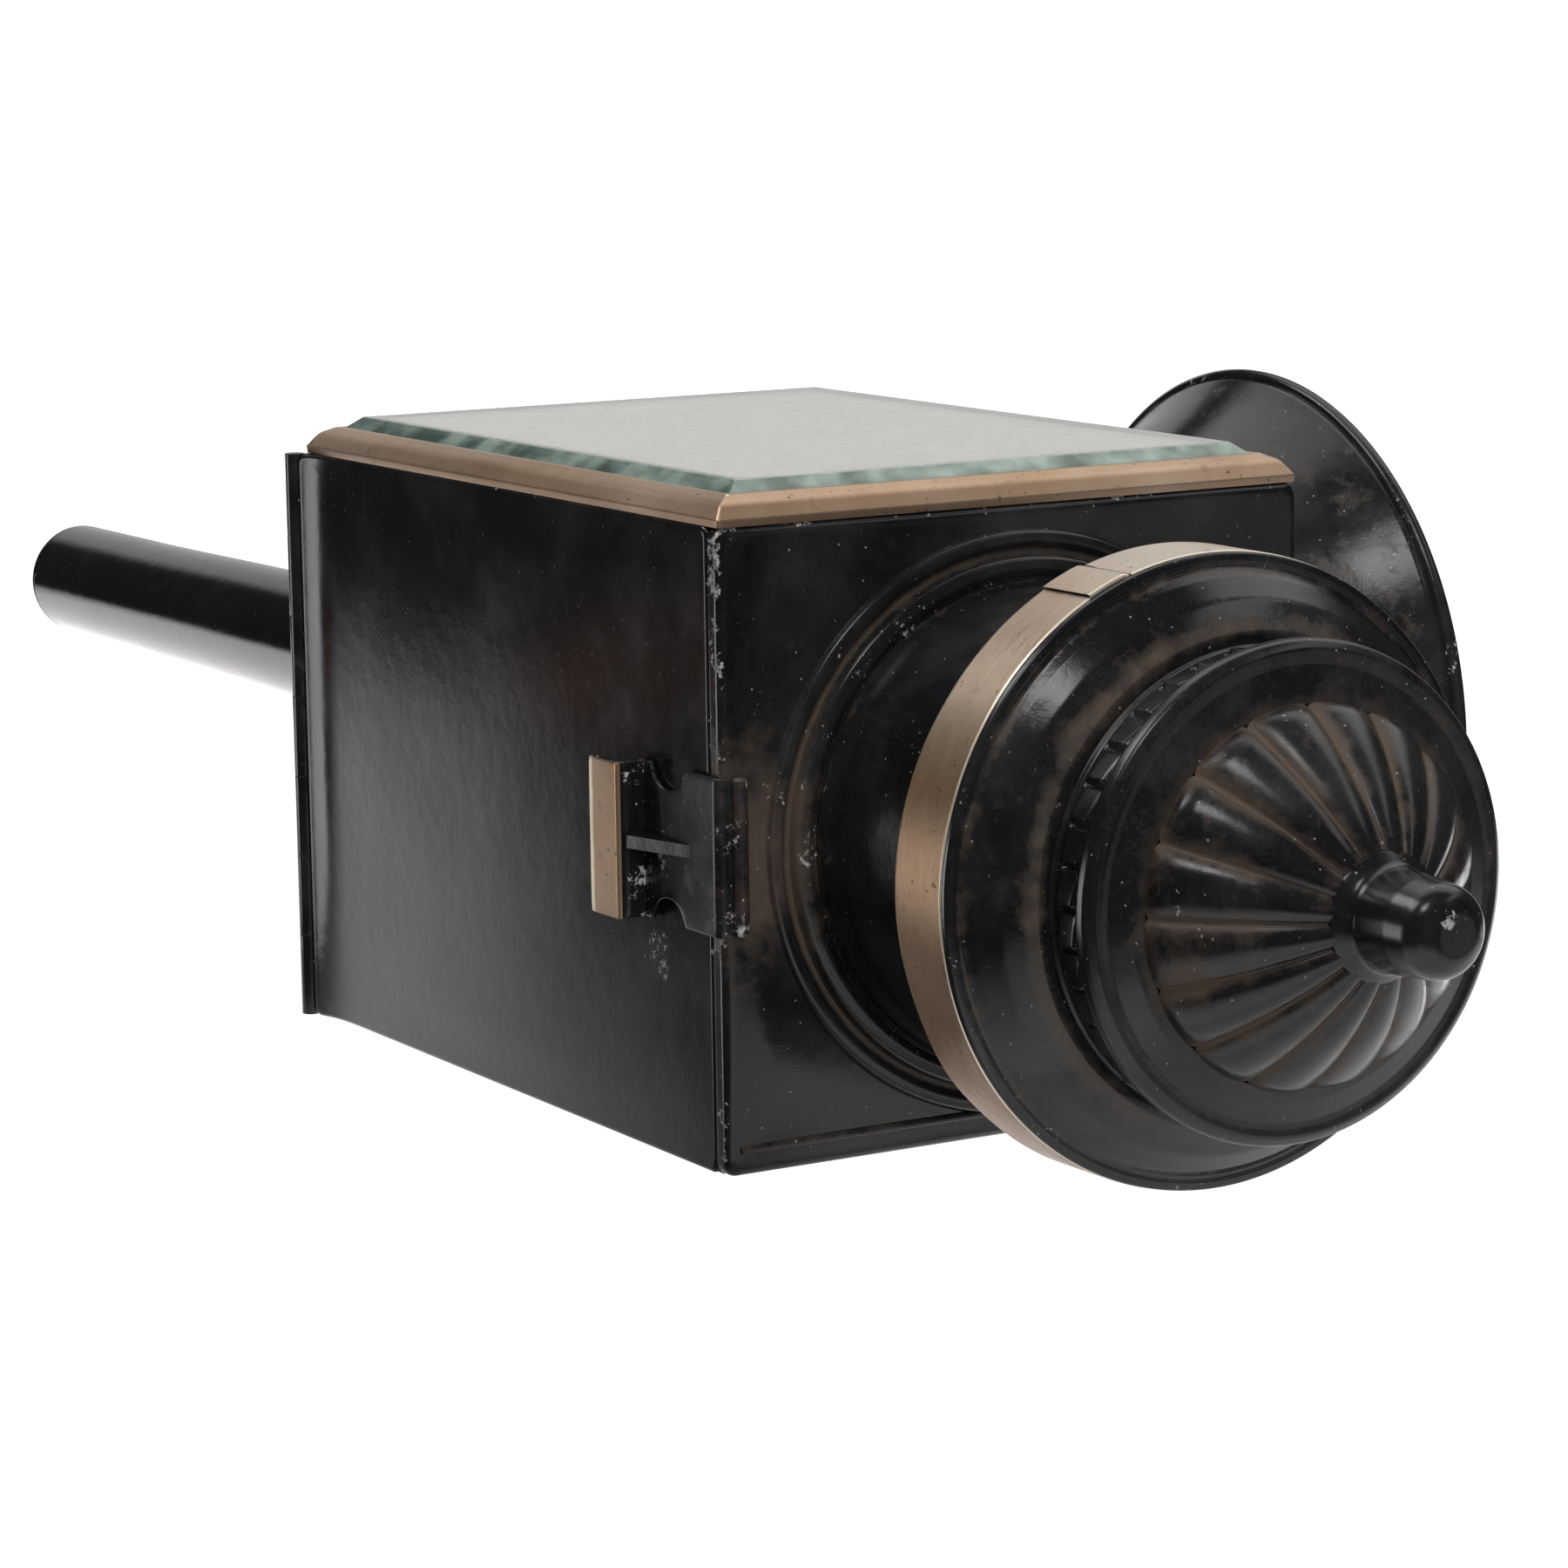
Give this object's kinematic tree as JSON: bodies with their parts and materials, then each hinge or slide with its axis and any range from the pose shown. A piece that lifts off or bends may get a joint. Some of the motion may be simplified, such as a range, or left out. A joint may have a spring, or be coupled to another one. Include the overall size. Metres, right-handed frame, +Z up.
{
  "type": "candle carriage lamp",
  "caption": "Square coach lamp for a candle: flared bell mouth, bevelled side glass, drop-down back door with a catch, vented chimney with a fluted dome, and a long sprung candle tube.",
  "frame": {"origin": "on the axis of the candle tube, at the lower end of the tube, where the lamp's stem drops into its socket", "axes": "+Z up along the tube and the chimney; -Y is the front, where the bell mouth looks; +Y is the door; +X is the side with the bevelled glass"},
  "size_m": [0.1344, 0.173, 0.5406],
  "materials": {
    "black_enamel": "glossy black stoving enamel, worn to grey at the edges",
    "worn_brass": "worn plating over brass, satin, brown stains",
    "bare_tin": "dull tinned sheet",
    "reflector": "silvered sheet, slightly dull",
    "plate_glass": "clear bevelled plate with a green edge",
    "packing": "dark felt strip",
    "candle_wax": "smooth off-white wax",
    "wick_cotton": "charred cotton",
    "spring_wire": "plain steel wire"
  },
  "bodies": {
    "lamp": {"base_plate": "black_enamel", "plain_side_panel": "black_enamel", "light_side_panel": "black_enamel", "front_panel": "black_enamel", "roof_plate": "black_enamel", "chimney_collar": "black_enamel", "roof_rivets": "black_enamel", "side_light_frame": "worn_brass", "side_glass": "plate_glass", "glass_packing": "packing", "glass_clips": "bare_tin", "bell_mouth": "black_enamel", "mouth_rim_wire": "black_enamel", "front_glass_ring": "bare_tin", "front_glass": "plate_glass", "chimney_neck": "black_enamel", "canopy": "black_enamel", "canopy_band": "worn_brass", "vent_gallery": "black_enamel", "gallery_moulding": "black_enamel", "fluted_dome": "black_enamel", "finial": "black_enamel", "flue_baffle": "bare_tin", "finial_nut": "worn_brass", "candle_tube": "black_enamel", "tube_flange": "black_enamel", "cap_lugs": "worn_brass", "nozzle_pins": "worn_brass", "candle_spring": "spring_wire", "base_knuckles": "black_enamel", "hinge_wire": "black_enamel", "side_reflector": "reflector"},
    "door": {"back_door": "black_enamel", "door_knuckles": "black_enamel", "door_reflector": "reflector", "catch_bracket": "black_enamel", "catch_pin": "worn_brass", "catch_spring": "spring_wire"},
    "catch": {"catch_plate": "black_enamel", "catch_lip": "black_enamel", "catch_facing": "worn_brass", "catch_rib": "black_enamel"},
    "bottom_cap": {"bottom_cap": "black_enamel"},
    "nozzle": {"nozzle_cap": "worn_brass"},
    "candle": {"candle": "candle_wax", "wick": "wick_cotton", "candle_follower": "bare_tin"}
  },
  "joints": [
    {"name": "door_hinge", "type": "hinge", "parent": "lamp", "child": "door", "pos_m": [0, 0.0608, 0.2574], "axis": [-1, 0, 0], "range_deg": [0, 160]},
    {"name": "catch_pivot", "type": "hinge", "parent": "door", "child": "catch", "pos_m": [0, 0.0609, 0.3916], "axis": [-1, 0, 0], "range_deg": [0, 12], "stiffness_Nm_per_rad": 0.15, "springref_deg": -14.32},
    {"name": "cap_turn", "type": "hinge", "parent": "lamp", "child": "bottom_cap", "pos_m": [0, 0, 0], "axis": [0, 0, 1], "range_deg": [0, 40]},
    {"name": "nozzle_turn", "type": "hinge", "parent": "lamp", "child": "nozzle", "pos_m": [0, 0, 0.298], "axis": [0, 0, 1], "range_deg": [0, 30]},
    {"name": "candle_push", "type": "slide", "parent": "lamp", "child": "candle", "axis": [0, 0, -1], "range_m": [0, 0.03], "stiffness_N_per_m": 60, "springref_m": -0.06, "deforming": ["candle_spring"]}
  ]
}
